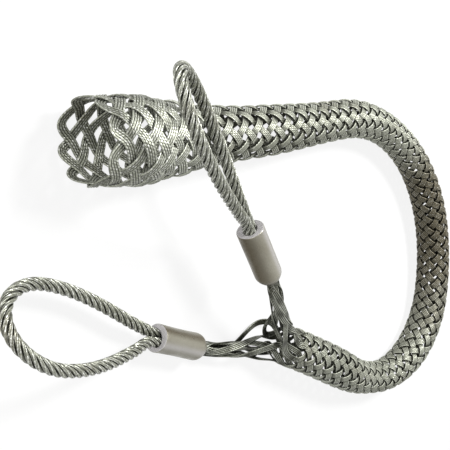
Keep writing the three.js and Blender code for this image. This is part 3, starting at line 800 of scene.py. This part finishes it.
def eye_line(half_width):
    """Centre line of an eye in its own plane: straight out of the ferrule, a curve that opens to
    the half width, a quarter round to the tip, and the same back on the other side."""
    near, wide = PINCHED + ROPE_GAP / 2, WIDEST_AT * EYE_LENGTH
    t = np.linspace(0, 1, 300)
    straight = np.linspace((-GRIP_DEPTH, near, 0), (0, near, 0), 60)
    opening = bezier((
        (0, near, 0), (OPENS_STRAIGHT * EYE_LENGTH, near, 0),
        (OPENS_BY * EYE_LENGTH, half_width, 0), (wide, half_width, 0),
    ), t)
    quarter = bezier((
        (wide, half_width, 0), (mixed(wide, EYE_LENGTH, QUARTER), half_width, 0),
        (EYE_LENGTH, QUARTER * half_width, 0), (EYE_LENGTH, 0, 0),
    ), t)
    half = np.concatenate((straight, opening[1:], quarter[1:]))
    return np.concatenate((half, (half * (1, -1, 1))[-2::-1]))


def level_side(heading):
    """The level direction to the left of a heading in degrees."""
    return np.array((-math.sin(math.radians(heading)), math.cos(math.radians(heading)), 0))


def eye_plane(heading, pitch, roll):
    """Directions along the eye, across it and out of its plane."""
    axis, level = pointing(heading, pitch), level_side(heading)
    roll = math.radians(roll)
    across = level * math.cos(roll) + np.cross(axis, level) * math.sin(roll)
    return np.stack((axis, across, np.cross(axis, across)))


for leg in LEGS:
    ferrule_mouth = leg_end(leg) + pointing(leg["heading"], leg["pitch"]) * FERRULE_LENGTH
    held = eye_plane(leg["heading"], leg["pitch"], leg["eye_roll"])
    free = eye_plane(leg["eye_heading"], leg["eye_pitch"], leg["eye_roll"])
    drawn = eye_line(leg["eye_half_width"])
    length = np.linalg.norm(np.diff(drawn, axis=0), axis=1).sum()
    steps = int(length / ROPE_STEP)
    share = np.linspace(0, 1, steps)
    middle = even_line(drawn, share)
    forward = unit(np.gradient(middle, axis=0))
    across = np.stack((-forward[:, 1], forward[:, 0], np.zeros(steps)), -1)
    room_across = np.minimum(ROPE_RADIUS, np.abs(middle[:, 1]) - ROPE_GAP / 2)
    squeeze = np.where(middle[:, 0] < EYE_LENGTH / 2, room_across / ROPE_RADIUS, 1)
    for number in range(ROPE_STRANDS):
        # each strand winds round the rope's middle line, and its section is a circle made a little
        # wider to the sides, so that neighbours touch
        lay = (number / ROPE_STRANDS + share * length / LAY_LENGTH) * 2 * math.pi
        about = np.arange(STRAND_SIDES) / STRAND_SIDES * 2 * math.pi
        out = 2 * STRAND_RADIUS + STRAND_RADIUS * np.cos(about)[None]
        sidewards = STRAND_RADIUS * STRAND_WIDER * np.sin(about)[None]
        x = (out * np.cos(lay)[:, None] - sidewards * np.sin(lay)[:, None]) * squeeze[:, None]
        z = out * np.sin(lay)[:, None] + sidewards * np.cos(lay)[:, None]
        flat = middle[:, None] + across[:, None] * x[..., None] + np.array((0, 0, 1)) * z[..., None]
        bent = eased(flat[..., :1] / (FERRULE_LENGTH * SWINGS_OVER))
        rings = ferrule_mouth + mixed(flat @ held, flat @ free, bent)
        groove = np.clip((UNSHADED_CROWN - np.cos(about)) / FULL_VALLEY, 0, 1)
        values = {
            "groove": np.broadcast_to(groove, x.shape),
            "dive": np.zeros(x.shape), "frayed": np.full(x.shape, ROPE_FRAYED),
        }
        piece = skin(f"{leg['name']}_eye_strand_{number + 1}", rings, values, rope_steel)
        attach(piece, "root")
        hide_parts(f"{leg['name']}_eye_rope")

# Ferrules
# A thick aluminium tube over the joint, pressed in a die: its sock side end is drawn down to a
# taper round the bundle, and its eye side end closes to an oval round the two rope legs.
FERRULE_RADIUS = 0.0095
FERRULE_TAPER = 0.007
FERRULE_TIP = 0.0062
ROPE_BORE = 0.0063
OVAL_BORE = 0.0047
STRAND_BORE = 0.005
EDGE_ROUND = 0.0007
PRESSED_IN = 0.00022
FERRULE_SIDES = 72
BORE_EDGE = 0.0006
CUT_MARGIN = 0.0003
DULL_PATCHES = 0.3
# width of the painted highlight streak, and strengths of the painted highlight streak and the painted
# shade band, round each ferrule
PAINTED_HIGHLIGHT_WIDTH = 15
PAINTED_SHADE_STRENGTH = 0.85
PAINTED_HIGHLIGHT_STRENGTH = 0.5
PRESSED_ALUMINIUM = (0.25, 0.24, 0.195, 1)
# bright cut metal for the wide end's face, and for the painted highlight streak along one side
CUT_AND_HIGHLIGHT_ALUMINIUM = (0.46, 0.445, 0.45, 1)
# dark brown for scuffed patches and for the painted shade band along one side
SCUFFED_AND_SHADED = (0.06, 0.045, 0.02, 1)

ferrule_metal = bpy.data.materials.new("pressed_aluminium")
ferrule_metal.use_nodes = True
tree = ferrule_metal.node_tree
shader = tree.nodes["Principled BSDF"]
worn = tree.nodes.new("ShaderNodeGroup")
worn.node_tree = weathering_and_painted_light
worn.inputs["Patch scale"].default_value = 60
worn.inputs["Fine scale"].default_value = 900
cut = mask_of(tree, "cut")
dull = scaled(tree, worn.outputs["Dull"], DULL_PATCHES)
colour = mix_colour(tree, dull, PRESSED_ALUMINIUM, SCUFFED_AND_SHADED)
# painted shade: a dark band along one side of the tube
colour = mix_colour(tree, mask_of(tree, "painted_shade_band"), colour, SCUFFED_AND_SHADED)
# painted highlight: a bright streak along another side of the tube
colour = mix_colour(tree, mask_of(tree, "painted_highlight_band"), colour, CUT_AND_HIGHLIGHT_ALUMINIUM)
colour = mix_colour(tree, cut, colour, CUT_AND_HIGHLIGHT_ALUMINIUM)
tree.links.new(colour, shader.inputs["Base Color"])
shader.inputs["Metallic"].default_value = 0.4
cut_rough = scaled(tree, cut, 0.25)
rough = math_node(tree, "MULTIPLY_ADD", worn.outputs["Dull"], 0.2, 0.26)
tree.links.new(math_node(tree, "ADD", rough, cut_rough), shader.inputs["Roughness"])
scratch = tree.nodes.new("ShaderNodeBump")
scratch.inputs["Strength"].default_value = 0.35
scratch.inputs["Distance"].default_value = 0.0002
tree.links.new(worn.outputs["Fine"], scratch.inputs["Height"])
tree.links.new(scratch.outputs["Normal"], shader.inputs["Normal"])


def ferrule_outline():
    """Distance along, radius and cut mark of the tube's outline, from the bore of the narrow end
    over the outside to the wide end and back through the bore."""
    taper = np.linspace(0, 1, 10)
    rise = FERRULE_TIP + (FERRULE_RADIUS - FERRULE_TIP) * np.sin(math.pi / 2 * taper ** 0.9)
    body = np.linspace(FERRULE_TAPER, FERRULE_LENGTH - EDGE_ROUND, 26)[1:]
    corner = np.radians(np.linspace(0, 90, 5))[1:]
    face = np.linspace(FERRULE_RADIUS - EDGE_ROUND, ROPE_BORE, 5)[1:]
    x = np.concatenate((
        (0.0,), taper * FERRULE_TAPER, body,
        FERRULE_LENGTH - EDGE_ROUND + EDGE_ROUND * np.sin(corner), np.full(4, FERRULE_LENGTH),
        (FERRULE_LENGTH - BORE_EDGE, FERRULE_LENGTH / 2, FERRULE_LENGTH / 2),
    ))
    r = np.concatenate((
        (STRAND_BORE,), rise, np.full(25, FERRULE_RADIUS),
        FERRULE_RADIUS - EDGE_ROUND + EDGE_ROUND * np.cos(corner), face,
        (ROPE_BORE, ROPE_BORE, STRAND_BORE),
    ))
    cut_mark = (x > FERRULE_LENGTH - CUT_MARGIN) & (r < FERRULE_RADIUS - CUT_MARGIN)
    return x, r, cut_mark


for leg in LEGS:
    x, r, cut_mark = ferrule_outline()
    axis = pointing(leg["heading"], leg["pitch"])
    level = level_side(leg["heading"])
    lift = np.cross(axis, level)
    about = np.arange(FERRULE_SIDES) / FERRULE_SIDES * 2 * math.pi
    to_eye = about - math.radians(leg["eye_roll"])
    oval = ROPE_BORE * OVAL_BORE / np.hypot(OVAL_BORE * np.cos(to_eye), ROPE_BORE * np.sin(to_eye))
    # the wide end's face goes over from the round outside to the oval bore
    rim = FERRULE_RADIUS - EDGE_ROUND
    bore_side = eased((rim - r) / (rim - ROPE_BORE)) * (x >= FERRULE_LENGTH / 2)
    radius = r[:, None] + (oval - ROPE_BORE) * bore_side[:, None]
    pressed = np.sin(math.pi * np.clip((x - FERRULE_TAPER) / (FERRULE_LENGTH - FERRULE_TAPER), 0, 1))
    outside = r > FERRULE_RADIUS - 1e-6
    radius = radius - PRESSED_IN * (pressed * outside)[:, None] * (1 + np.cos(2 * to_eye))
    out = level * np.cos(about)[:, None] + lift * np.sin(about)[:, None]
    rings = leg_end(leg) + axis * x[:, None, None] + out * radius[..., None]
    steps, sides = radius.shape
    index = np.arange(steps * sides).reshape(steps, sides)
    next_step, beside = np.roll(index, -1, axis=0), np.roll(index, -1, axis=1)
    quads = np.stack((index, beside, np.roll(next_step, -1, axis=1), next_step), -1).reshape(-1, 4)
    mesh = bpy.data.meshes.new(f"{leg['name']}_pressed_ferrule")
    mesh.from_pydata(rings.reshape(-1, 3), [], quads.tolist())
    marks = np.repeat(cut_mark.astype(np.float32), sides)
    mesh.attributes.new("cut", "FLOAT", "POINT").data.foreach_set("value", marks)
    # one side gets a band of painted shade and another a streak of painted highlight, standing in for
    # how the lamps light the tube and glance off it
    streaks = (
        ("painted_shade_band", leg["painted_shade_at"], leg["painted_shade_width"], PAINTED_SHADE_STRENGTH),
        ("painted_highlight_band", leg["painted_highlight_at"], PAINTED_HIGHLIGHT_WIDTH, PAINTED_HIGHLIGHT_STRENGTH),
    )
    for label, at, width, strength in streaks:
        beyond = (about - math.radians(at) + math.pi) % (2 * math.pi) - math.pi
        streak = strength * np.exp(-(beyond / math.radians(width)) ** 2)
        values = np.tile(streak, steps).astype(np.float32)
        mesh.attributes.new(label, "FLOAT", "POINT").data.foreach_set("value", values)
    mesh.polygons.foreach_set("use_smooth", np.ones(len(quads), bool))
    mesh.materials.append(ferrule_metal)
    piece = bpy.data.objects.new(f"{leg['name']}_pressed_ferrule", mesh)
    bpy.context.collection.objects.link(piece)
    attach(piece, "root")
    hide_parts(f"{leg['name']}_ferrule")

# Picture settings
# The picture keeps plain colours.
bpy.context.scene.view_settings.view_transform = "Standard"
